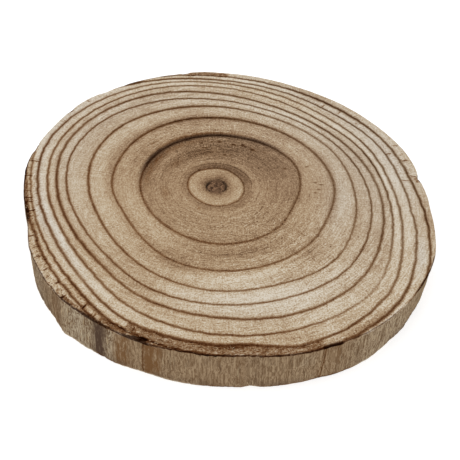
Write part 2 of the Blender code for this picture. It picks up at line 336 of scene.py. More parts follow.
# Where the wall is stained black, brown or weathered grey: the direction, half width in degrees and
# strength. In the first table the entry at 216 is painted shade where the wall lies back beside its ledge
WALL_STAINS_AND_SHADE = ((241, 2.0, 1.3), (216, 8, 0.35), (279.5, 2.5, 0.15), (226.5, 1.5, 0.3))
WALL_BROWNS = (
    (247.8, 1.8, 1.0), (254.6, 1.2, 1.2), (256.6, 1.3, 1.0), (272, 15, 0.12), (297, 2, 0.4),
    (226, 1.6, 0.4),
)
WALL_GREYS = ((234, 6, 1.1), (244, 1.5, 0.8), (314, 12, 0.6), (212, 8, 0.5))
# Where the wall holds more loose fibres: the direction, half width in degrees and strength
FIBROUS = ((215, 30, 1.0), (320, 14, 0.4))
# Where the wall's loose fibres are paler or darker: the direction, half width in degrees and how much
FIBRE_LIFTS = (
    (205, 26, 0.12), (232, 7, 0.15), (241, 1.6, -0.6), (248, 2.2, -0.35), (256, 2.5, -0.3),
    (275, 14, -0.05), (330, 14, 0.1),
)
# Where chips lie at the rim: the middle and half width in degrees, how far in from the rim they start and
# end in millimetres, and how many there are
CHIPPED = (
    (184, 17, 1.2, 2.6, 1.0), (214, 18, 1, 5, 0.2), (245, 4, 1, 4, 0.8), (252, 5, 3.5, 7, 0.8),
    (266, 12, 1.6, 5.5, 1.0), (285, 8, 1.5, 5, 0.5), (94, 6, 1, 4, 0.5),
)
# Where chips point outwards; elsewhere they lie along the rim
CHIPS_OUTWARDS = ((196, 40, 1.0), (320, 30, 0.7), (10, 25, 0.8))
# Gaps between the pith and the wood round it, sunk into the face and darkened with painted shade: the
# direction, half width in degrees and strength
PITH_GAPS = ((160, 38, 1.0), (345, 42, 0.9), (40, 30, 0.5))

# How deep each kind of wear goes
PITH_GAP_DEPTH = 0.9 * MM
RIM_SCAR_DEPTH = 0.4 * MM
CRACK_DEPTH = 0.3 * MM
SPLINTER_DEPTH = 0.25 * MM
SANDING_DEPTH = 0.03 * MM
SAWING_DEPTH = 0.06 * MM
FOOT_ROUNDING = 0.3 * MM
# A crack is drawn within this distance of its middle line
CRACK_REACH_MM = 2.0
# The saw's marks on the underside, in radians for each metre along X, Y and Z
SAW_MARKS = (1400.0, 500.0, 0.0)
# Each seed moves the noise by this much
SEED_STEP = 37.7


def around(radii_mm, directions):
    """Radii in metres on a smooth closed curve through equally spaced radii, in an array of directions."""
    radii = np.array(radii_mm, float)
    place = np.asarray(directions) * len(radii) / 360
    first = np.floor(place).astype(int)
    part = place - first
    before, start, end, after = (radii[(first + step) % len(radii)] for step in (-1, 0, 1, 2))
    slope_in = (end - before) / 2
    slope_out = (after - start) / 2
    rise = end - start
    bend = 3 * rise - 2 * slope_in - slope_out
    twist = slope_in + slope_out - 2 * rise
    return (start + part * (slope_in + part * (bend + part * twist))) * MM


def turn_between(directions, other):
    """The smaller angle between each direction and another one."""
    return np.abs((directions - other + 180) % 360 - 180)


def bumps_at(bumps, directions):
    """How far small bumps stand out in each direction."""
    height = np.zeros_like(directions)
    for centre, height_mm, half_width in bumps:
        height += height_mm * MM * np.maximum(0, 1 - turn_between(directions, centre) / half_width)
    return height


def bell(distance, half_width):
    """1 in the middle, falling smoothly to almost nothing at twice the half width."""
    return np.exp(-((distance / half_width) ** 2))


def step_up(values, low, high):
    """0 below low, 1 above high, and smooth between them."""
    share = np.clip((values - low) / (high - low), 0, 1)
    return share * share * (3 - 2 * share)


def rough(points, grain, seed):
    """Smooth noise from -1 to 1 at each point. Its lumps are as big as grain, which may differ by axis."""
    spots = points / np.array(grain) + SEED_STEP * seed
    values = [noise.noise(Vector(spot)) for spot in spots.reshape(-1, 3)]
    return np.array(values).reshape(points.shape[:-1])


def rays_of(directions):
    """Unit vectors in the given directions."""
    angles = np.radians(directions)
    return np.stack([np.cos(angles), np.sin(angles)], axis=-1)


def between_corners(curve, directions):
    """A curve round the stem as the frame has it, straight between its corners."""
    corners = np.arange(FRAME_DIRECTIONS + 1) * 360 / FRAME_DIRECTIONS
    return np.interp(np.asarray(directions) % 360, corners, curve(corners))


def rim_radius(directions):
    """The radius of the frame's rim."""
    return between_corners(lambda at: around(OUTLINE_MM, at) + bumps_at(RIM_BUMPS, at), directions)


def on_stem(radius, below, directions):
    """Points at a radius from the pith and a share of the thickness below the top, on the leaning stem."""
    foot_bumps = between_corners(lambda at: bumps_at(FOOT_BUMPS, at), directions)
    narrowing = (foot_bumps - TAPER) * below / rim_radius(directions)
    reach = radius * (1 + narrowing)
    return rays_of(directions) * reach[..., None] + LEAN * np.asarray(below)[..., None]


def pith_place():
    """Where the pith stands in the frame: the frame's box is the box round its rim and its foot."""
    directions = np.arange(FRAME_DIRECTIONS) * 360 / FRAME_DIRECTIONS
    rim = rim_radius(directions)
    edge = np.concatenate([on_stem(rim, np.full_like(rim, below), directions) for below in (0, 0.5, 1)])
    return (CAD_LOW[:2] + CAD_HIGH[:2] - edge.min(axis=0) - edge.max(axis=0)) / 2


PITH = pith_place()


def ripple(directions, strengths, seed):
    """A closed wavering line. Each strength gives a range of wave counts round the stem and their reach."""
    draw = np.random.default_rng(seed)
    total = np.zeros_like(directions)
    for low, high, reach in strengths:
        for waves in draw.integers(low, high, size=4):
            total += reach / 2 * np.sin(np.radians(directions * waves) + draw.uniform(0, math.tau))
    return total


def growth_lines(directions, wander):
    """The true radius of each growth line, with the small wavering that neighbours partly share."""
    rim = rim_radius(directions)
    shared = ripple(directions, ((30, 60, 0.8),), seed=3)
    lines = []
    for index, radii_mm in enumerate(GROWTH_LINES_MM):
        bends = [bend[1:] for bend in LINE_BENDS if bend[0] == index + 1]
        radius = around(radii_mm, directions) + bumps_at(bends, directions)
        own = ripple(directions, ((40, 80, 0.6), (90, 170, 0.4)), seed=20 + index)
        outwards = (radius / rim) ** 2
        lines.append(radius + wander * outwards * (0.5 * shared + own))
    return np.maximum.accumulate(np.array(lines) + np.arange(len(lines))[:, None] * 1e-9)


def age_at(radius, edges):
    """The age at each radius and the width of its ring, where edges holds the radii of whole ages."""
    age = np.empty_like(radius)
    for column in range(radius.shape[1]):
        age[:, column] = np.interp(radius[:, column], edges[:, column], np.arange(len(edges)))
    ring = np.clip(age.astype(int), 0, len(edges) - 2)
    columns = np.arange(radius.shape[1])
    return age, edges[ring + 1, columns] - edges[ring, columns]


def patch_sum(patches, directions, age):
    """Soft patches on the cut face, added up: each is placed by its direction and its age."""
    total = np.zeros_like(age)
    for centre, half_turn, middle_age, half_age, strength in patches:
        across = bell(turn_between(directions, centre), half_turn)
        total += strength * across * bell(age - middle_age, half_age)
    return total


def rim_patches(patches, directions, inward, softness):
    """Patches near the rim with clear borders, placed by their direction and distance from the rim."""
    total = np.zeros_like(inward)
    for centre, half_turn, near_mm, far_mm, strength in patches:
        turn = turn_between(directions, centre)
        across = 1 - step_up(turn, half_turn * 0.7, half_turn * 1.3)
        starts = step_up(inward, near_mm * MM - softness, near_mm * MM + softness)
        ends = 1 - step_up(inward, far_mm * MM - softness, far_mm * MM + softness)
        total = np.maximum(total, strength * across * starts * ends)
    return total


def turn_sum(patches, directions):
    """Soft patches placed by direction alone, added up."""
    total = 0
    for centre, half_turn, strength in patches:
        total = total + strength * bell(turn_between(directions, centre), half_turn)
    return total


def rim_line(directions):
    """The strength of the dark line along the rim, and half its thickness in millimetres."""
    shows = np.zeros_like(directions)
    half_mm = np.full_like(directions, 0.25)
    for centre, half_turn, strength, thickness_mm in RIM_LINES:
        across = 1 - step_up(turn_between(directions, centre), half_turn * 0.7, half_turn * 1.3)
        shows = np.maximum(shows, strength * across)
        half_mm = np.maximum(half_mm, thickness_mm * across)
    return shows, half_mm


def crumbled_at(directions, inward, age):
    """How much the wood crumbles at each point."""
    return rim_patches(CRUMBLED, directions, inward, 0.5 * MM) * (age > CRUMBLED_FROM_AGE)


def ledges(directions):
    """How far the wall lies back beside its ledges."""
    total = np.zeros_like(directions)
    for centre, depth_mm, fade in WALL_LEDGES:
        turn = (centre - directions + 180) % 360 - 180
        total += depth_mm * MM * step_up(turn, -0.3, 0.3) * (1 - step_up(turn, fade * 0.3, fade))
    return total


def cracks_near(radius, inward, directions, on_wall):
    """How strongly the nearest crack or wall line shows, and how far beside it each point lies in
    millimetres.
    A crack shows as painted shade inside its split.
    """
    shows = np.zeros_like(radius)
    aside = np.full_like(radius, CRACK_REACH_MM)

    def lay(side, strength):
        nearer = np.abs(side) < np.abs(aside)
        reach = 1 - step_up(np.abs(side), 0.6 * CRACK_REACH_MM, CRACK_REACH_MM)
        aside[nearer] = side[nearer]
        shows[nearer] = (strength * reach)[nearer]

    turn_mm = np.radians(radius / MM)
    inward_mm = inward / MM
    for centre, near_mm, far_mm, lean, strength in CRACKS:
        side = ((directions - centre + 180) % 360 - 180) * turn_mm - lean * (inward_mm - near_mm)
        starts = step_up(inward_mm, near_mm - 0.4, near_mm + 0.4)
        ends = 1 - step_up(inward_mm, far_mm - 0.6, far_mm + 0.6)
        lay(side, strength * starts * ends * ~on_wall)
    # Wall lines, one of which is painted shadow along the ledge
    for centre, strength in WALL_LINES_AND_LEDGE_SHADOW:
        lay(((directions - centre + 180) % 360 - 180) * turn_mm, strength * on_wall)
    return shows, aside


def rows_between(inner, outer, count):
    """Evenly spaced rows of radii between two rows, without the ends."""
    shares = np.arange(1, count + 1) / (count + 1)
    return [inner + (outer - inner) * share for share in shares]


class Skin:
    """The slice's skin as rows of points round the stem, with what the finish reads at each point."""

    def __init__(self, sizes):
        self.sizes = sizes
        self.directions = np.arange(DIRECTIONS) * 360 / DIRECTIONS
        self.frame_rim = rim_radius(self.directions) - SKIN_MARGIN
        self.rim = self.frame_rim + bumps_at(RIM_DENTS, self.directions)
        self.lines = growth_lines(self.directions, sizes.line_wander)
        self.edges = np.concatenate([
            np.full((1, DIRECTIONS), sizes.pith_radius),
            self.lines,
            self.lines[-1:] + LAST_RING,
        ])
        wobble = ripple(self.directions, ((30, 60, 0.5), (70, 130, 0.5), (150, 300, 0.5)), seed=8)
        self.rim_shows, self.rim_half_mm = rim_line(self.directions)
        loose = rim_patches(CRUMBLED, self.directions, np.zeros_like(self.directions), 0.4 * MM)
        loose = np.maximum(loose, self.rim_shows)
        self.wear = sizes.edge_wear * (0.2 + 0.8 * loose) * np.clip(0.5 + 0.5 * wobble, 0.08, 1)
        self.points, self.measures = self.assemble()

    def top_radii(self):
        """Rows over the top face: across the pith, then along every growth line, to the worn edge."""
        rows = [self.sizes.pith_radius * np.full(DIRECTIONS, share) for share in PITH_ROWS]
        room = self.rim - self.wear - LINE_SPACING
        ordered = []
        for line in self.lines[::-1]:
            ordered.insert(0, np.minimum(line, room))
            room = ordered[0] - LINE_SPACING
        for line, count in zip(ordered, ROWS_BEFORE_LINE):
            rows += rows_between(rows[-1], line - ROW_HALF_WIDTH, count)
            rows += [line - ROW_HALF_WIDTH, line, line + ROW_HALF_WIDTH]
        return rows + rows_between(rows[-1], self.rim - self.wear, ROWS_BEFORE_RIM)

    def wall_radius(self, below):
        """The wall's outline at a share of the thickness below the top, where the rim's dents fade out."""
        rim_dents = (self.rim - self.frame_rim) * (1 - step_up(below, 0, 0.35))
        foot_dents = bumps_at(FOOT_DENTS, self.directions) * below
        ragged = ripple(self.directions, ((60, 120, 0.5), (150, 300, 0.5)), seed=14)
        splinters = -SPLINTER_DEPTH * np.clip(ragged, 0, None) * below ** 6
        set_back = ledges(self.directions) * step_up(below, 0, 0.25)
        return self.frame_rim + rim_dents + foot_dents + splinters + set_back

    def relief(self, radius, age, gap, flat):
        """How far the top face lies below the saw's plane: lines, pith, crumbling patches and scars."""
        nearest = (age - np.round(age)) * gap
        pressed = self.sizes.line_depth * bell(nearest, 0.6 * MM) * (age > 0.5)
        inside = 1 - step_up(radius, 0.9 * self.sizes.pith_radius, 1.15 * self.sizes.pith_radius)
        crinkle = 0.5 * rough(flat, 1.3 * MM, seed=1) + 0.35 * rough(flat, 0.6 * MM, seed=2)
        sunk = self.sizes.pith_depth * inside * (0.85 + crinkle)
        gaps = turn_sum(PITH_GAPS, self.directions)
        sunk += PITH_GAP_DEPTH * gaps * bell(radius - 0.93 * self.sizes.pith_radius, 0.7 * MM)
        inward = self.rim - radius
        directions = np.broadcast_to(self.directions, radius.shape)
        crumbs = 0.5 + 0.7 * rough(flat, 1.1 * MM, seed=4) + 0.4 * rough(flat, 0.5 * MM, seed=5)
        loose = crumbled_at(directions, inward, age)
        crumbled = self.sizes.crumble_depth * loose * np.clip(crumbs, 0, None)
        scar = RIM_SCAR_DEPTH * self.rim_shows * bell(inward / MM, self.rim_half_mm)
        shows, aside = cracks_near(radius, inward, directions, np.zeros(radius.shape, bool))
        split = CRACK_DEPTH * shows * bell(aside, 0.6)
        sanding = SANDING_DEPTH * (1 + rough(flat, 7 * MM, seed=6))
        return pressed + sunk + crumbled + scar + split + sanding

    def assemble(self):
        """Stacks the rows of the top, the wall and the underside, and works out every measure on them."""
        top = np.array(self.top_radii())
        drops = []
        for share in EDGE_ROWS:
            top = np.concatenate([top, (self.rim - self.wear * (1 - share))[None]])
            drops.append(self.wear * share ** 2)
        wall_below = np.linspace(0, 1, WALL_ROWS + 2)[1:-1, None]
        under = self.wall_radius(1.0) * np.linspace(0.999, 0.02, UNDERSIDE_ROWS)[:, None]
        radius = np.concatenate([top, self.wall_radius(wall_below), under])
        below = np.zeros(radius.shape)
        below[len(top):] = 1
        below[len(top):-UNDERSIDE_ROWS] = wall_below
        place = np.arange(len(radius))
        on_top = place < len(top)
        under_rows = place >= len(top) + WALL_ROWS
        on_wall = ~on_top & ~under_rows

        age, gap = age_at(radius, self.edges)
        height = THICKNESS * (1 - below)
        flat = np.zeros(radius.shape + (3,))
        flat[..., :2] = rays_of(self.directions) * radius[..., None]
        height[on_top] -= self.relief(radius[on_top], age[on_top], gap[on_top], flat[on_top])
        first_drop = len(top) - len(EDGE_ROWS)
        height[first_drop:len(top)] -= np.array(drops)
        radius[on_wall] += self.wall_relief(flat[on_wall], height[on_wall], below[on_wall])
        foot = step_up(radius[under_rows], self.wall_radius(1.0) - 0.9 * MM, self.wall_radius(1.0))
        sawing = SAWING_DEPTH * (1 + rough(flat[under_rows], 20 * MM, seed=9))
        height[under_rows] += sawing + FOOT_ROUNDING * foot ** 2

        points = np.empty(radius.shape + (3,))
        points[..., :2] = on_stem(radius, below, self.directions) + PITH
        points[..., 2] = CAD_LOW[2] + height
        self.wall_rows = slice(len(top) - 1, len(top) + WALL_ROWS)
        self.edge_rows = slice(len(top) - EDGE_STRIP_ROWS, len(top))
        self.inward = self.rim - radius
        return points, self.finish_measures(radius, below, age, gap, on_wall, under_rows)

    def wall_relief(self, flat, height, below):
        """How far the wall's fibres stand proud of it or lie behind it."""
        spots = flat.copy()
        spots[..., 2] = height
        fibres = 0.4 * rough(spots, (1.3 * MM, 1.3 * MM, 22 * MM), seed=11)
        fibres += 0.3 * rough(spots, (3.5 * MM, 3.5 * MM, 50 * MM), seed=12)
        fibres += 0.6 * rough(spots, (11 * MM, 11 * MM, 60 * MM), seed=13)
        swell = WALL_SWELL * 2 * np.minimum(below, 1 - below)
        return self.sizes.fibre_depth * np.minimum(fibres - 0.7, 0) * step_up(below, 0, 0.12) + swell

    def finish_measures(self, radius, below, age, gap, on_wall, under_rows):
        """What the finish reads at each point."""
        directions = np.broadcast_to(self.directions, radius.shape)
        inward = self.rim - radius
        ages, tones = zip(*TONE_BY_AGE)
        line = np.clip(np.round(age).astype(int) - 1, 0, len(LINE_DARKNESS) - 1)
        darkness = np.array(LINE_DARKNESS)[line]
        half_width = np.array(LINE_HALF_WIDTH_MM)[line]
        for number, patches in LINE_PATCHES.items():
            for centre, half_turn, darker, wider in patches:
                here = bell(turn_between(directions, centre), half_turn) * (line == number - 1)
                darkness = darkness + darker * here
                half_width = half_width + wider * here
        wall = np.zeros_like(radius)
        wall[on_wall] = 1
        under = np.zeros_like(radius)
        under[under_rows] = 1
        face = (1 - wall) * (1 - under)
        around_pith = bell(radius - 0.95 * self.sizes.pith_radius, 0.6 * MM)
        lies_on_wall = np.broadcast_to(on_wall[:, None], radius.shape)
        shows, aside = cracks_near(radius, inward, directions, lies_on_wall)
        return {
            "ring_age": age,
            "ring_gap_mm": gap / MM,
            "tone": np.interp(age, ages, tones) + patch_sum(TONE_PATCHES, directions, age),
            "bleached": patch_sum(BLEACHED, directions, age),
            "line_dark": darkness,
            "line_half_mm": half_width,
            "line_grey": turn_sum(LINE_GREYS, directions),
            "smear": turn_sum(SMEARS, directions) * (1 - under),
            "halo": turn_sum(HALOS, directions) * (1 - under),
            "inner_streaks": turn_sum(INNER_STREAKS, directions) * (1 - under),
            "crumbled": crumbled_at(directions, inward, age) * face,
            "crack_shade_and_wall_lines": shows * (1 - under),
            "crack_mm": aside,
            "flecked": rim_patches(FLECKED, directions, inward, 1.5 * MM) * face,
            "rim_mm": np.where(wall > 0, -below * THICKNESS, inward) / MM,
            "rim_shows": np.broadcast_to(self.rim_shows, radius.shape) * (1 - under),
            "rim_half_mm": np.broadcast_to(self.rim_half_mm, radius.shape),
            "wall": wall,
            "wall_stain_and_shade": turn_sum(WALL_STAINS_AND_SHADE, directions),
            "wall_brown": turn_sum(WALL_BROWNS, directions),
            "wall_grey": turn_sum(WALL_GREYS, directions),
            "foot_near": wall * step_up(below, 0.7, 1.0),
            "coarse": turn_sum(COARSE, directions) * step_up(age, 1.1, 1.5),
            "underside": under,
            "pith": 1 - step_up(radius, 0.9 * self.sizes.pith_radius, 1.1 * self.sizes.pith_radius),
            "pith_gap_shade": turn_sum(PITH_GAPS, directions) * around_pith * (1 - under),
        }


def wall_strip(skin):
    """The wall as a surface for loose fibres, which run up it with a slight lean."""
    points = skin.points[skin.wall_rows][2:]
    sideways = ripple(skin.directions, ((20, 60, 0.12), (200, 400, 0.12)), seed=31)
    along = np.zeros(points.shape)
    along[..., :2] = rays_of(skin.directions + 90) * sideways[:, None]
    along[..., 2] = 1
    lift = np.broadcast_to(turn_sum(FIBRE_LIFTS, skin.directions), points.shape[:2])
    darkened_wall = turn_sum(WALL_STAINS_AND_SHADE, skin.directions) + turn_sum(WALL_BROWNS, skin.directions)
    amount = (0.35 + 0.65 * turn_sum(FIBROUS, skin.directions)) * np.clip(1 - 2 * darkened_wall, 0, 1)
    return strip_from_rows("wall_strip", points, np.broadcast_to(amount, points.shape[:2]), along, lift)


def rim_strip(skin):
    """The outer part of the top face as a surface for chips."""
    points = skin.points[skin.edge_rows]
    directions = np.broadcast_to(skin.directions, points.shape[:2])
    amount = rim_patches(CHIPPED, directions, skin.inward[skin.edge_rows], 0.5 * MM)
    outwards = np.clip(turn_sum(CHIPS_OUTWARDS, skin.directions), 0, 1)
    lean = 90 * (1 - outwards) + 70 * ripple(skin.directions, ((60, 120, 0.5), (200, 350, 0.5)), seed=33)
    along = np.zeros(points.shape)
    along[..., :2] = rays_of(skin.directions + lean)
    return strip_from_rows("rim_strip", points, amount, along, np.zeros(points.shape[:2]))


def bands_of_quads(rows, count):
    """Faces between rows of points round the stem, and the points' own numbers and their neighbours'."""
    start = np.arange(rows * count).reshape(rows, count)
    following = np.roll(start, -1, axis=1)
    quads = np.stack([start[:-1], start[1:], following[1:], following[:-1]], axis=-1).reshape(-1, 4)
    return quads.tolist(), start, following


def add_values(mesh, title, values):
    """Stores a value for each point of a mesh."""
    attribute = mesh.attributes.new(title, "FLOAT", "POINT")
    attribute.data.foreach_set("value", values.astype(np.float32))


def mesh_from_rows(name, points, measures):
    """A closed mesh from rows of points round the stem, fanned at both ends, with its measures."""
    rows, count = points.shape[:2]
    ends = np.array([points[0].mean(axis=0), points[-1].mean(axis=0)])
    vertices = np.concatenate([points.reshape(-1, 3), ends])
    quads, start, following = bands_of_quads(rows, count)
    first, last = rows * count, rows * count + 1
    opening = np.stack([np.full(count, first), start[0], following[0]], axis=-1)
    closing = np.stack([np.full(count, last), following[-1], start[-1]], axis=-1)
    mesh = bpy.data.meshes.new(name)
    mesh.from_pydata(vertices.tolist(), [], quads + opening.tolist() + closing.tolist())
    for title, values in measures.items():
        add_values(mesh, title, np.concatenate([values.reshape(-1), [values[0].mean(), values[-1].mean()]]))
    return mesh


class Signal:
    """A socket of a node tree, so that maths on it reads as plain arithmetic."""

    def __init__(self, nodes, socket):
        self.nodes = nodes
        self.socket = socket

    def __add__(self, other):
        return self.nodes.maths("ADD", self, other)

    def __radd__(self, other):
        return self.nodes.maths("ADD", other, self)

    def __sub__(self, other):
        return self.nodes.maths("SUBTRACT", self, other)

    def __rsub__(self, other):
        return self.nodes.maths("SUBTRACT", other, self)

    def __mul__(self, other):
        return self.nodes.maths("MULTIPLY", self, other)

    def __rmul__(self, other):
        return self.nodes.maths("MULTIPLY", other, self)

    def __truediv__(self, other):
        return self.nodes.maths("DIVIDE", self, other)

    def __rtruediv__(self, other):
        return self.nodes.maths("DIVIDE", other, self)


class Nodes:
    """The nodes of one tree, built as expressions on their signals."""

    def __init__(self, tree):
        self.tree = tree

    def node(self, kind, settings, inputs, output=0):
        """Adds a node, first its settings, then its sockets' values or links. Returns one output."""
        made = self.tree.nodes.new(kind)
        for title, value in settings.items():
            setattr(made, title, value)
        for title, value in inputs.items():
            self.feed(made.inputs[title], value)
        return Signal(self, made.outputs[output])

    def feed(self, socket, value):
        if isinstance(value, Signal):
            self.tree.links.new(value.socket, socket)
        else:
            socket.default_value = value

    def maths(self, operation, first, second=0.0):
        return self.node("ShaderNodeMath", {"operation": operation}, {0: first, 1: second})

    def vector(self, operation, first, second=(0, 0, 0), output=0):
        return self.node("ShaderNodeVectorMath", {"operation": operation}, {0: first, 1: second}, output)

    def scaled(self, first, scale):
        return self.node("ShaderNodeVectorMath", {"operation": "SCALE"}, {0: first, "Scale": scale})


class Finish(Nodes):
    """One material, built as expressions on its signals."""

    def __init__(self, name):
        self.material = bpy.data.materials.new(name)
        self.material.use_nodes = True
        super().__init__(self.material.node_tree)
        self.shader = self.tree.nodes["Principled BSDF"]

    def measure(self, title):
        """A value that the mesh holds at each of its points."""
        return self.node("ShaderNodeAttribute", {"attribute_name": title}, {}, output="Fac")

    def upwards(self, height):
        return self.node("ShaderNodeCombineXYZ", {}, {"X": 0.0, "Y": 0.0, "Z": height})

    def noise(self, place, scale, detail=2.0, roughness=0.5, distortion=0.0):
        """Noise from 0 to 1."""
        return self.node("ShaderNodeTexNoise", {"noise_dimensions": "3D"}, {
            "Vector": place, "Scale": scale, "Detail": detail, "Roughness": roughness,
            "Distortion": distortion})

    def between(self, value, low, high):
        """0 where the value is at low, 1 where it is at high, and smooth between them."""
        return self.node("ShaderNodeMapRange", {"interpolation_type": "SMOOTHSTEP"}, {
            "Value": value, "From Min": low, "From Max": high, "To Min": 0.0, "To Max": 1.0})

    def bell(self, distance, half_width):
        share = distance / half_width
        return self.maths("EXPONENT", share * share * -1.0)

    def mix(self, amount, first, second):
        """A colour between two others. Colours are signals or plain red, green and blue."""
        first, second = (value if isinstance(value, Signal) else (*value, 1.0) for value in (first, second))
        return self.node("ShaderNodeMix", {"data_type": "RGBA", "clamp_factor": True},
                         {"Factor": amount, 6: first, 7: second}, output=2)

    def darken(self, colour, amount, tint):
        """A colour seen through a tint. An amount of 1 multiplies by the tint, and 2 by its square."""
        return self.vector("MULTIPLY", colour, self.vector("POWER", tint, amount))

    def ramp(self, value, stops):
        """A colour by value, from stops that pair a place from 0 to 1 with a colour."""
        colour = self.node("ShaderNodeValToRGB", {}, {"Fac": value})
        elements = colour.socket.node.color_ramp.elements
        while len(elements) < len(stops):
            elements.new(1)
        for element, (place, tint) in zip(elements, stops):
            element.position = place
            element.color = (*tint, 1)
        return colour

    def set(self, title, value):
        self.feed(self.shader.inputs[title], value)


# The wood's colour by tone
WOOD_STOPS = (
    (0.18, (0.03, 0.017, 0.010)),
    (0.30, (0.085, 0.048, 0.026)),
    (0.38, (0.165, 0.095, 0.051)),
    (0.45, (0.25, 0.155, 0.087)),
    (0.53, (0.357, 0.239, 0.140)),
    (0.585, (0.427, 0.312, 0.195)),
    (0.64, (0.502, 0.403, 0.277)),
    (0.69, (0.560, 0.478, 0.362)),
    (0.76, (0.64, 0.575, 0.475)),
)
# How much of the colour's strength bleached wood keeps
BLEACHED_SATURATION = 0.55


class WoodFinish(Finish):
    """Sawn wood with growth lines on both faces and a fibrous grey-brown wall."""

    def __init__(self, colours):
        super().__init__("slice_wood")
        self.colours = colours
        self.place = self.node("ShaderNodeTexCoord", {}, {}, output="Object")
        flat = self.vector("MULTIPLY", self.vector("SUBTRACT", self.place, (*PITH, 0.0)), (1.0, 1.0, 0.0))
        self.ray = self.vector("NORMALIZE", flat)
        self.radius_mm = self.vector("LENGTH", flat, output="Value") / MM
        self.uneven = self.noise(self.place, 60.0, 3.0)
        self.wall = self.measure("wall")
        self.crumbs = self.noise(self.place, 650.0, 3.0, 0.7)
        self.sand = self.noise(self.place, 1100.0, 3.0, 0.75) - 0.5
        self.measure_rings()
        face = self.rim_colour(self.face_colour())
        self.strands, wall = self.wall_colour()
        self.set("Base Color", self.edge_colour(self.mix(self.wall, face, wall)))
        self.set("Roughness", 0.85)
        self.set("Specular IOR Level", 0.0)
        self.set("Normal", self.fine_relief())

    def polar(self, turns, per_mm):
        """Places for noise that is stretched along the rings or across them."""
        return self.vector("ADD", self.scaled(self.ray, turns), self.upwards(self.radius_mm * per_mm))

    def ragged(self, mask, depth=0.9):
        """A soft mask with its border broken up into crumbs."""
        return self.between(mask + (self.crumbs - 0.5) * depth, 0.35, 0.6)

    def towards(self, direction, half_width):
        """1 in one direction from the pith, falling to 0 on both sides of it."""
        ray = rays_of(direction)
        facing = self.vector("DOT_PRODUCT", self.ray, (*ray, 0.0), output="Value")
        low, high = (math.cos(math.radians(half_width * share)) for share in (1.4, 0.5))
        return self.between(facing, low, high)

    def measure_rings(self):
        """Works out how dark the growth lines make each place, with a wavering finer than the mesh."""
        gap = self.measure("ring_gap_mm")
        waver = (self.noise(self.place, 380.0, 3.0) - 0.5) * 0.55
        fine = (self.noise(self.place, 1300.0, 2.0) - 0.5) * 0.6
        outwards = self.between(self.radius_mm, -30.0, 130.0)
        self.age = self.measure("ring_age") + (waver + fine) * outwards / gap
        share = self.maths("FRACT", self.age)
        outside_mm = share * gap
        inside_mm = (1.0 - share) * gap
        half_mm = self.measure("line_half_mm") * (0.75 + self.uneven * 0.5)
        outer_half = self.bell(outside_mm, half_mm * 0.95)
        inner_half = self.bell(inside_mm, half_mm * 1.05)
        line = self.maths("MAXIMUM", outer_half, inner_half)
        past_pith = self.between(self.age, 0.6, 0.8)
        darkness = self.measure("line_dark") * (0.75 + self.noise(self.place, 150.0, 3.0) * 0.5)
        self.line = line * darkness * past_pith
        inner = self.maths("EXPONENT", inside_mm / -2.2) * 0.045 * self.between(self.age, 1.1, 1.3)
        outer = self.maths("EXPONENT", outside_mm / -1.8) * 0.045 * past_pith
        self.past_second_mm = (self.age - 2.0) * gap
        self.line_shade = (inner + outer) * (0.3 + darkness)

    def flaw(self, direction, radius_mm, along_mm, across_mm):
        """A soft oval on the face, placed round the pith."""
        ray = rays_of(direction)
        away = self.vector("SUBTRACT", self.place, (*(PITH + ray * radius_mm * MM), 0.0))
        away = self.vector("ADD", away, self.shake)
        along = self.vector("DOT_PRODUCT", away, (-ray[1], ray[0], 0.0), output="Value") / (along_mm * MM)
        across = self.vector("DOT_PRODUCT", away, (ray[0], ray[1], 0.0), output="Value") / (across_mm * MM)
        return self.maths("EXPONENT", (along * along + across * across) * -1.0)

    def flaws(self):
        """How dark the small flaws make each place, with ragged outlines."""
        jitter = self.node("ShaderNodeTexNoise", {}, {
            "Vector": self.place, "Scale": 700.0, "Detail": 3.0}, output="Color")
        self.shake = self.scaled(self.vector("SUBTRACT", jitter, (0.5, 0.5, 0.5)), 0.0018)
        return self.spots(FLAWS)

    def spots(self, places):
        total = 0.0
        for direction, radius_mm, along_mm, across_mm, strength in places:
            total = self.flaw(direction, radius_mm, along_mm, across_mm) * strength + total
        return total * (1.0 - self.measure("underside")) * (1.0 - self.wall)

    def face_colour(self):
        heart = self.between(self.age, 2.3, 1.9)
        streaks = self.noise(self.polar(3.5, 0.9), 1.0, 4.0, 0.65) - 0.5
        broad_grain = self.noise(self.polar(7.0, 0.5), 1.0, 3.0, 0.6) - 0.5
        ring_grain = self.noise(self.polar(14.0, 1.3), 1.0, 4.0, 0.65) - 0.5
        rays = self.noise(self.polar(85.0, 0.07), 1.0, 3.0, 0.6) - 0.5
        mottle = self.noise(self.place, 45.0, 4.0) - 0.5
        specks = self.noise(self.place, 480.0, 3.0, 0.65) - 0.5
        self.pores = self.between(self.noise(self.place, 800.0, 2.0, 0.7), 0.6, 0.75)
        self.grain = ring_grain * 0.5 + rays * 0.5 + self.sand * 0.8
        tone = self.measure("tone") - self.line_shade
        for age, half_width, darkness in FALSE_RINGS:
            tone = tone - self.bell(self.age - age, half_width) * darkness
        for direction, half_turn, age, half_width, darkness in PART_RINGS:
            ring = self.bell(self.age - age, half_width) * self.towards(direction, half_turn)
            tone = tone - ring * darkness
        coarse = 1.0 + self.measure("coarse")
        tone = tone + ring_grain * 0.26 * coarse + broad_grain * 0.1 * coarse + rays * 0.17 + mottle * 0.07
        tone = tone + streaks * (0.06 + heart * 0.16)
        tone = tone + self.sand * 0.52 * coarse + specks * 0.13 - self.pores * 0.1
        face = self.ramp(tone, WOOD_STOPS)
        face = self.node("ShaderNodeHueSaturation", {}, {
            "Saturation": 1.0 - self.measure("bleached") * (1 - BLEACHED_SATURATION), "Color": face})
        tint = self.mix(self.measure("line_grey"), self.colours.line, self.colours.line_grey)
        face = self.darken(face, self.line + self.flaws() * (0.4 + self.crumbs), tint)
        return self.smeared(face, ring_grain)

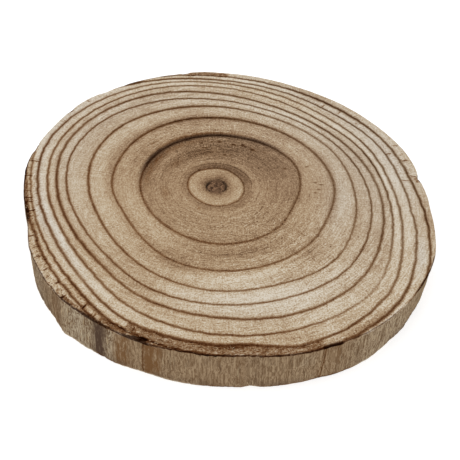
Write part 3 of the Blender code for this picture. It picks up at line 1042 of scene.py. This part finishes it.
    def smeared(self, face, ring_grain):
        """Smears the second line: brown outside it and in streaks inside it, and black along it."""
        blur = (self.uneven - 0.5) * 1.5 + ring_grain * 2.0
        halo = self.bell(self.past_second_mm - 2.6 + blur, 1.5) * self.measure("halo")
        inner = self.bell(self.past_second_mm + 3.6 + blur, 2.2) * self.between(ring_grain, -0.1, 0.12)
        brown = halo * 0.5 + inner * self.measure("inner_streaks") * 0.7
        face = self.darken(face, brown, self.colours.line)
        black = self.bell(self.past_second_mm - 0.4 + blur * 0.5, 1.7) * self.measure("smear")
        return self.darken(face, black, self.colours.smear)

    def rim_colour(self, face):
        """Lays the crumbling patches, the flecks, the pith and the painted shade in the gaps round it over
        the sawn face.
        """
        colours = self.colours
        shreds = self.noise(self.polar(45.0, 1.5), 1.0, 4.0, 0.75, 0.8) * 0.65 + self.crumbs * 0.35
        torn = 0.55 + (0.5 - shreds) * 5.0
        loose = self.between(self.measure("crumbled"), 0.2, 0.5) * self.maths("MAXIMUM", torn, 0.05)
        face = self.darken(face, loose, colours.line)
        chips = self.between(self.noise(self.polar(170.0, 0.6), 1.0, 2.0, 0.6, 1.0), 0.56, 0.66)
        face = self.darken(face, self.measure("flecked") * chips * 0.8, colours.line)
        tissue = self.noise(self.place, 620.0, 4.0, 0.7, 1.5)
        pith = self.mix(self.between(tissue, 0.35, 0.68), colours.scar, colours.pith)
        face = self.mix(self.measure("pith"), face, pith)
        # Near-black painted shade in the gaps round the pith
        return self.mix(self.measure("pith_gap_shade"), face, (0.014, 0.009, 0.006))

    def edge_colour(self, colour):
        """Draws the dark line along the rim and the cracks, which run on over the edge, with painted shade
        inside the cracks.
        """
        waver = (self.noise(self.place, 420.0, 3.0, 0.6) - 0.5) * 1.3
        rim = self.bell(self.measure("rim_mm") - 0.25 + waver, self.measure("rim_half_mm") + 0.1)
        rim = rim * self.measure("rim_shows") * self.between(self.crumbs, 0.2, 0.5)
        blots = self.between(self.spots(BLOTS) + (self.crumbs - 0.5) * 1.2, 0.3, 0.75)
        colour = self.darken(colour, self.maths("MAXIMUM", rim * 1.05, blots), self.colours.rim)
        # Painted shade inside the cracks, and the wall's lines, one of which is painted shadow beside the
        # ledge
        fork = (self.noise(self.place, 520.0, 3.0, 0.6) - 0.5) * 1.8
        crack = self.bell(self.measure("crack_mm") + fork, 0.5) * self.measure("crack_shade_and_wall_lines")
        return self.darken(colour, crack * 1.15, self.colours.line)

    def stretched(self, share):
        """Places for noise that is stretched along the fibres, which run through the thickness."""
        bend = self.scaled(self.upwards(self.uneven), 0.01)
        return self.vector("ADD", self.vector("MULTIPLY", self.place, (1.0, 1.0, share)), bend)

    def wall_colour(self):
        """The colour of the wall, whose fibres run through the thickness, with painted shade where it lies
        back beside its ledge.
        """
        colours = self.colours
        strands = self.noise(self.stretched(0.04), 900.0, 4.0, 0.8, 0.2)
        dashes = self.noise(self.stretched(0.22), 1500.0, 2.0, 0.6)
        broad = self.noise(self.stretched(0.1), 90.0, 3.0)
        weather = self.noise(self.stretched(0.5), 40.0, 3.0)
        lumps = self.noise(self.stretched(0.6), 300.0, 3.0, 0.6, 0.6)
        thread = strands * 0.55 + self.noise(self.stretched(0.03), 2400.0, 2.0, 0.6) * 0.45
        thread = 0.5 + (thread - 0.5) * (1.15 + self.measure("wall_grey") * 1.5)
        side = self.mix(self.between(thread, 0.38, 0.62), colours.wall_dark, colours.wall)
        side = self.mix(self.between(broad, 0.5, 0.72) * 0.3, side, colours.wall_brown)
        grey = self.mix(self.between(thread, 0.36, 0.58), colours.wall_dark, colours.wall_grey)
        greyed = self.measure("wall_grey") * 0.6 + self.between(weather, 0.55, 0.8) * 0.3
        side = self.mix(greyed, side, grey)
        brown = self.measure("wall_brown") * (0.85 + (lumps - 0.5) * 2.4 + (strands - 0.5) * -4.0)
        side = self.mix(brown, side, colours.wall_brown)
        # Dark stains, and painted shade over the set-back wall beside the ledge, in the same colour
        side = self.mix(self.measure("wall_stain_and_shade") * (2.0 - strands * 2.2), side, colours.stain_and_shade)
        # The wall is darker in patches towards its foot
        darker_near_foot = self.measure("foot_near") * self.between(weather, 0.42, 0.6) * 0.5
        side = self.mix(darker_near_foot, side, colours.stain_and_shade)
        return thread, self.mix(self.between(dashes, 0.62, 0.72) * 0.45, side, colours.stain_and_shade)

    def fine_relief(self):
        face = self.grain * 0.6 - self.pores * 0.6 - self.line * 0.4
        saw = self.maths("SINE", self.vector("DOT_PRODUCT", self.place, SAW_MARKS, output="Value"))
        height = self.strands * self.wall * 1.4 + (1.0 - self.wall) * face
        height = height + self.measure("crumbled") * self.crumbs * 1.5
        height = height + saw * self.measure("underside") * 0.3
        return self.node("ShaderNodeBump", {}, {"Strength": 0.35, "Distance": 0.0003, "Height": height})


class SliverFinish(Finish):
    """Bare wood in one colour for each sliver, from dark to pale."""

    def __init__(self, name, dark, pale):
        super().__init__(name)
        self.set("Base Color", self.mix(self.measure("sliver_tone"), dark, pale))
        self.set("Roughness", 0.85)
        self.set("Specular IOR Level", 0.0)


class SliverScatter(Nodes):
    """Strews slivers over a surface.

    The surface holds three values at each point: "amount" says how many slivers lie there, "along" which
    way they point, and "lift" how much paler they are.
    """

    def __init__(self, name, material):
        super().__init__(bpy.data.node_groups.new(name, "GeometryNodeTree"))
        surface, density, length, width, thickness, headroom, self.seed = self.add_sockets()
        amount = self.held("amount", "FLOAT") * density
        points = self.node("GeometryNodeDistributePointsOnFaces", {"distribute_method": "RANDOM"}, {
            "Mesh": surface, "Density": amount, "Seed": self.seed})
        turned = Signal(self, points.socket.node.outputs["Rotation"])
        turned = self.node("FunctionNodeAlignRotationToVector", {"axis": "X", "pivot_axis": "Z"}, {
            "Rotation": turned, "Vector": self.held("along", "FLOAT_VECTOR")})
        place = self.node("GeometryNodeInputPosition", {}, {})
        size = self.size_of_each(place, length, width, thickness, headroom)
        sliver = self.node("GeometryNodeMeshUVSphere", {}, {"Segments": 4, "Rings": 2, "Radius": 1.0})
        slivers = self.node("GeometryNodeInstanceOnPoints", {}, {
            "Points": points, "Instance": sliver, "Rotation": turned, "Scale": size})
        tone = self.draw(0.0, 1.0, 3) + self.held("lift", "FLOAT")
        for_each = {"data_type": "FLOAT", "domain": "INSTANCE"}
        slivers = self.node("GeometryNodeStoreNamedAttribute", for_each, {
            "Geometry": slivers, "Name": "sliver_tone", "Value": tone})
        slivers = self.node("GeometryNodeRealizeInstances", {}, {"Geometry": slivers})
        slivers = self.node("GeometryNodeSetPosition", {}, {
            "Geometry": slivers, "Position": self.kept_in_box(place)})
        slivers = self.node("GeometryNodeSetMaterial", {}, {"Geometry": slivers, "Material": material})
        self.feed(self.tree.nodes.new("NodeGroupOutput").inputs[0], slivers)

    def add_sockets(self):
        """Adds the tree's named inputs and its output, and returns the inputs."""
        face = self.tree.interface
        face.new_socket("Surface", in_out="INPUT", socket_type="NodeSocketGeometry")
        for title in ("Density", "Length", "Width", "Thickness", "Headroom"):
            face.new_socket(title, in_out="INPUT", socket_type="NodeSocketFloat")
        face.new_socket("Seed", in_out="INPUT", socket_type="NodeSocketInt")
        face.new_socket("Slivers", in_out="OUTPUT", socket_type="NodeSocketGeometry")
        given = self.tree.nodes.new("NodeGroupInput").outputs
        return [Signal(self, socket) for socket in list(given)[:7]]

    def size_of_each(self, place, length, width, thickness, headroom):
        """The size of each sliver. One that stands upright ends below the headroom and above the foot."""
        height = self.upward_part(place)
        room = self.maths("MINIMUM", height - float(CAD_LOW[2]), float(CAD_HIGH[2]) - headroom - height)
        lying = self.maths("LESS_THAN", self.upward_part(self.held("along", "FLOAT_VECTOR")), 0.5)
        reach = self.maths("MINIMUM", length * self.draw(0.15, 0.5, 1), room * 0.95 + lying)
        reach = self.maths("MAXIMUM", reach, thickness)
        half_thickness = self.maths("MINIMUM", thickness * 0.5, room * 0.8 + (1.0 - lying))
        return self.node("ShaderNodeCombineXYZ", {}, {
            "X": reach, "Y": width * self.draw(0.25, 0.5, 2), "Z": half_thickness})

    def upward_part(self, vector):
        return self.node("ShaderNodeSeparateXYZ", {}, {"Vector": vector}, output="Z")

    def kept_in_box(self, place):
        """The nearest place inside the frame's box."""
        low, high = (tuple(map(float, corner)) for corner in (CAD_LOW + BOX_MARGIN, CAD_HIGH - BOX_MARGIN))
        return self.vector("MINIMUM", self.vector("MAXIMUM", place, low), high)

    def held(self, title, kind):
        """A value that the surface holds."""
        return self.node("GeometryNodeInputNamedAttribute", {"data_type": kind}, {"Name": title})

    def draw(self, low, high, step):
        """A random value for each sliver."""
        return self.node("FunctionNodeRandomValue", {"data_type": "FLOAT"}, {
            2: low, 3: high, "Seed": self.seed + float(step)}, output=1)


def scatter(name, surface, tree, values):
    """Runs a scatter over a surface mesh and returns the slivers as a plain mesh."""
    carrier = bpy.data.objects.new(name, surface)
    bpy.context.scene.collection.objects.link(carrier)
    modifier = carrier.modifiers.new("scatter", "NODES")
    modifier.node_group = tree
    for item in tree.interface.items_tree:
        if item.name in values:
            modifier[item.identifier] = values[item.name]
    depsgraph = bpy.context.evaluated_depsgraph_get()
    mesh = bpy.data.meshes.new_from_object(carrier.evaluated_get(depsgraph), depsgraph=depsgraph)
    carrier.modifiers.remove(modifier)
    bpy.data.objects.remove(carrier)
    bpy.data.meshes.remove(surface)
    if not mesh.polygons:
        raise RuntimeError(f"No slivers were made for {name}")
    mesh.name = name
    return mesh


def strip_from_rows(name, points, amount, along, lift):
    """An open surface from rows of points round the stem, with what a scatter reads on it."""
    quads, _, _ = bands_of_quads(*points.shape[:2])
    mesh = bpy.data.meshes.new(name)
    mesh.from_pydata(points.reshape(-1, 3).tolist(), [], quads)
    add_values(mesh, "amount", amount.reshape(-1))
    add_values(mesh, "lift", lift.reshape(-1))
    attribute = mesh.attributes.new("along", "FLOAT_VECTOR", "POINT")
    attribute.data.foreach_set("vector", along.reshape(-1).astype(np.float32))
    return mesh


def link_piece(name, mesh, material):
    """A finished piece at the origin, smooth shaded, riding on the slice's one body."""
    piece = bpy.data.objects.new(name, mesh)
    bpy.context.scene.collection.objects.link(piece)
    mesh.materials.clear()
    mesh.materials.append(material)
    mesh.shade_smooth()
    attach(piece, "root")
    return piece


def length(name, description, default):
    return FloatProperty(name=name, description=description, default=default, unit="LENGTH")


def number(name, description, default):
    return FloatProperty(name=name, description=description, default=default)


def colour(name, description, default):
    return FloatVectorProperty(name=name, description=description, default=default, subtype="COLOR")


def seed(name, default):
    return IntProperty(name=name, description="Which of the random strewings is used", default=default)


class SliceSizes(PropertyGroup):
    pith_radius: length("Pith radius", "Radius of the soft round core", 0.0062)
    pith_depth: length("Pith depth", "How far the pith has sunk below the sawn face", 0.0009)
    line_depth: length("Line depth", "How deep each growth line lies in the face", 0.00022)
    line_wander: length("Line wander", "How far a growth line wavers near the rim", 0.00025)
    edge_wear: length("Edge wear", "How far the rim has worn away where it crumbles", 0.0010)
    crumble_depth: length("Crumble depth", "How rough the crumbling patches are", 0.0006)
    fibre_depth: length("Fibre depth", "How far the wall's fibres stand out", 0.00035)


class SliceColours(PropertyGroup):
    line: colour("Growth line", "Tint that a growth line lays over the wood", (0.25, 0.138, 0.079))
    line_grey: colour("Grey growth line", "The same where the lines are greyer", (0.25, 0.175, 0.118))
    smear: colour("Smear", "Tint of the black smear on the heart's edge", (0.2, 0.182, 0.192))
    rim: colour("Rim line", "Tint of the blackened fibre along the rim", (0.1, 0.07, 0.062))
    scar: colour("Scar", "Darkest tissue of the pith", (0.03, 0.015, 0.009))
    pith: colour("Pith", "Brown tissue of the pith", (0.26, 0.15, 0.085))
    wall: colour("Wall", "Bare fibre of the wall", (0.345, 0.247, 0.151))
    wall_dark: colour("Wall dark", "Shaded fibre of the wall", (0.136, 0.08, 0.041))
    wall_grey: colour("Wall grey", "Weathered fibre of the wall", (0.47, 0.405, 0.295))
    wall_brown: colour("Wall brown", "Brown fibre of the wall", (0.155, 0.08, 0.034))
    # Also painted shade where the wall lies back beside its ledge, and the darker patches near the foot
    stain_and_shade: colour("Stain", "Dark stains down the wall", (0.075, 0.046, 0.031))


class SliverSettings(PropertyGroup):
    fibre_density: number("Fibre density", "Loose fibres on each square metre of the wall", 90000.0)
    fibre_length: length("Fibre length", "Length of the longest loose fibre", 0.012)
    fibre_width: length("Fibre width", "Width of the widest loose fibre", 0.0007)
    fibre_headroom: length("Fibre headroom", "How far below the top face every fibre ends", 0.0016)
    fibre_seed: seed("Fibre seed", 3)
    fibre_dark: colour("Fibre dark", "The darkest loose fibre", (0.13, 0.075, 0.04))
    fibre_pale: colour("Fibre pale", "The palest loose fibre", (0.42, 0.31, 0.19))
    chip_density: number("Chip density", "Chips on each square metre of crumbling rim", 420000.0)
    chip_length: length("Chip length", "Length of the longest chip", 0.0024)
    chip_width: length("Chip width", "Width of the widest chip", 0.0007)
    chip_seed: seed("Chip seed", 8)
    chip_dark: colour("Chip dark", "The darkest chip", (0.13, 0.065, 0.03))
    chip_pale: colour("Chip pale", "The palest chip", (0.5, 0.36, 0.22))
    thickness: length("Thickness", "Thickness of every fibre and chip", 0.00025)


class StageSettings(PropertyGroup):
    floor_size: length("Floor size", "Length of the floor's side", 6.0)
    floor_colour: colour("Floor colour", "Colour of the floor", (0.6, 0.6, 0.6))
    floor_glow: number("Floor glow", "How much light comes up through the floor", 0.6)
    sky_strength: number("Sky strength", "Strength of the even light from all sides", 0.85)
    key_power: number("Key power", "Power of the large soft light overhead, in watts", 9.0)
    lens: number("Lens", "Focal length of the camera, in millimetres", 70.0)
    pitch: FloatProperty(
        name="Pitch", description="How steeply the camera looks down",
        default=math.radians(44), subtype="ANGLE")
    distance: length("Distance", "From the camera to the point that it looks at", 0.514)


class WOODSLICE_OT_body(Operator):
    """Makes the slice itself: both sawn faces, the worn rim and the fibrous wall"""

    bl_idname = "wood_slice.body"
    bl_label = "Slice"

    def execute(self, context):
        skin = Skin(context.scene.slice_sizes)
        mesh = mesh_from_rows("slice_body", skin.points, skin.measures)
        finish = WoodFinish(context.scene.slice_colours)
        piece = link_piece("slice_body", mesh, finish.material)
        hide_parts("wood_slice")
        return {"FINISHED"}


class WOODSLICE_OT_wall_fibres(Operator):
    """Strews loose fibres over the wall, along the grain"""

    bl_idname = "wood_slice.wall_fibres"
    bl_label = "Wall fibres"

    def execute(self, context):
        slivers = context.scene.slice_slivers
        surface = wall_strip(Skin(context.scene.slice_sizes))
        finish = SliverFinish("loose_fibre", slivers.fibre_dark, slivers.fibre_pale)
        tree = SliverScatter("fibre_scatter", finish.material).tree
        mesh = scatter("wall_fibres", surface, tree, {
            "Density": slivers.fibre_density, "Length": slivers.fibre_length, "Width": slivers.fibre_width,
            "Thickness": slivers.thickness, "Headroom": slivers.fibre_headroom, "Seed": slivers.fibre_seed})
        link_piece("wall_fibres", mesh, finish.material)
        return {"FINISHED"}


class WOODSLICE_OT_rim_chips(Operator):
    """Strews chips over the crumbling parts of the rim"""

    bl_idname = "wood_slice.rim_chips"
    bl_label = "Rim chips"

    def execute(self, context):
        slivers = context.scene.slice_slivers
        surface = rim_strip(Skin(context.scene.slice_sizes))
        finish = SliverFinish("rim_chip", slivers.chip_dark, slivers.chip_pale)
        tree = SliverScatter("chip_scatter", finish.material).tree
        mesh = scatter("rim_chips", surface, tree, {
            "Density": slivers.chip_density, "Length": slivers.chip_length, "Width": slivers.chip_width,
            "Thickness": slivers.thickness, "Headroom": 0.0, "Seed": slivers.chip_seed})
        link_piece("rim_chips", mesh, finish.material)
        return {"FINISHED"}


# The point of the top face that the camera looks at, from the pith
LOOK_FROM_PITH = Vector((8.3, -38.4)) * MM
KEY_HEIGHT = 1.4
KEY_SIZE = 2.0
KEY_OFFSET = Vector((-0.35, 0.15))


class WOODSLICE_OT_stage(Operator):
    """Makes the pale floor, the soft light and the camera"""

    bl_idname = "wood_slice.stage"
    bl_label = "Floor, light and camera"

    def execute(self, context):
        stage = context.scene.slice_stage
        self.lay_floor(context, stage)
        self.light(context, stage)
        self.place_camera(context, stage)
        context.scene.view_settings.view_transform = "Standard"
        return {"FINISHED"}

    def lay_floor(self, context, stage):
        half = stage.floor_size / 2
        height = float(CAD_LOW[2])
        corners = [(x * half, y * half, height) for x, y in ((-1, -1), (1, -1), (1, 1), (-1, 1))]
        mesh = bpy.data.meshes.new("floor")
        mesh.from_pydata(corners, [], [(0, 1, 2, 3)])
        floor = bpy.data.objects.new("floor", mesh)
        context.scene.collection.objects.link(floor)
        finish = Finish("floor_paper")
        finish.set("Base Color", (*stage.floor_colour, 1))
        finish.set("Roughness", 0.9)
        finish.set("Specular IOR Level", 0.0)
        finish.set("Emission Color", (1.0, 1.0, 1.0, 1.0))
        finish.set("Emission Strength", stage.floor_glow)
        mesh.materials.append(finish.material)
        floor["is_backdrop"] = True

    def light(self, context, stage):
        world = bpy.data.worlds.new("studio")
        context.scene.world = world
        world.use_nodes = True
        background = world.node_tree.nodes["Background"]
        background.inputs["Color"].default_value = (1, 1, 1, 1)
        background.inputs["Strength"].default_value = stage.sky_strength
        lamp = bpy.data.lights.new("key", "AREA")
        lamp.energy = stage.key_power
        lamp.size = KEY_SIZE
        key = bpy.data.objects.new("key", lamp)
        key.location = (*KEY_OFFSET, KEY_HEIGHT)
        key.rotation_euler = key.location.to_track_quat("Z", "Y").to_euler()
        context.scene.collection.objects.link(key)

    def place_camera(self, context, stage):
        camera = bpy.data.cameras.new("camera")
        camera.lens = stage.lens
        camera.sensor_width = 36
        seat = bpy.data.objects.new("camera", camera)
        target = Vector((*PITH, CAD_HIGH[2])) + Vector((*LOOK_FROM_PITH, 0))
        away = Vector((0, -math.cos(stage.pitch), math.sin(stage.pitch)))
        seat.location = target + away * stage.distance
        seat.rotation_euler = (math.pi / 2 - stage.pitch, 0, 0)
        context.scene.collection.objects.link(seat)
        context.scene.camera = seat


class WOODSLICE_PT_panel(Panel):
    """Lists the slice's sizes, colours and pieces"""

    bl_idname = "WOODSLICE_PT_panel"
    bl_label = "Wood slice"
    bl_space_type = "VIEW_3D"
    bl_region_type = "UI"
    bl_category = "Wood slice"

    def draw(self, context):
        for title in SETTINGS:
            group = getattr(context.scene, title)
            box = self.layout.box()
            for key in group.bl_rna.properties.keys():
                if key not in ("rna_type", "name"):
                    box.prop(group, key)
        for operator in OPERATORS:
            self.layout.operator(operator.bl_idname)


SETTINGS = {
    "slice_sizes": SliceSizes,
    "slice_colours": SliceColours,
    "slice_slivers": SliverSettings,
    "slice_stage": StageSettings,
}
OPERATORS = (WOODSLICE_OT_body, WOODSLICE_OT_wall_fibres, WOODSLICE_OT_rim_chips, WOODSLICE_OT_stage)


def register():
    for kind in (*SETTINGS.values(), *OPERATORS, WOODSLICE_PT_panel):
        bpy.utils.register_class(kind)
    for title, kind in SETTINGS.items():
        setattr(bpy.types.Scene, title, PointerProperty(type=kind))


def unregister():
    for title in SETTINGS:
        delattr(bpy.types.Scene, title)
    for kind in (WOODSLICE_PT_panel, *OPERATORS[::-1], *SETTINGS.values()):
        bpy.utils.unregister_class(kind)


def main():
    register()
    bpy.ops.wood_slice.body()
    bpy.ops.wood_slice.wall_fibres()
    bpy.ops.wood_slice.rim_chips()
    bpy.ops.wood_slice.stage()


if __name__ == "__main__":
    main()
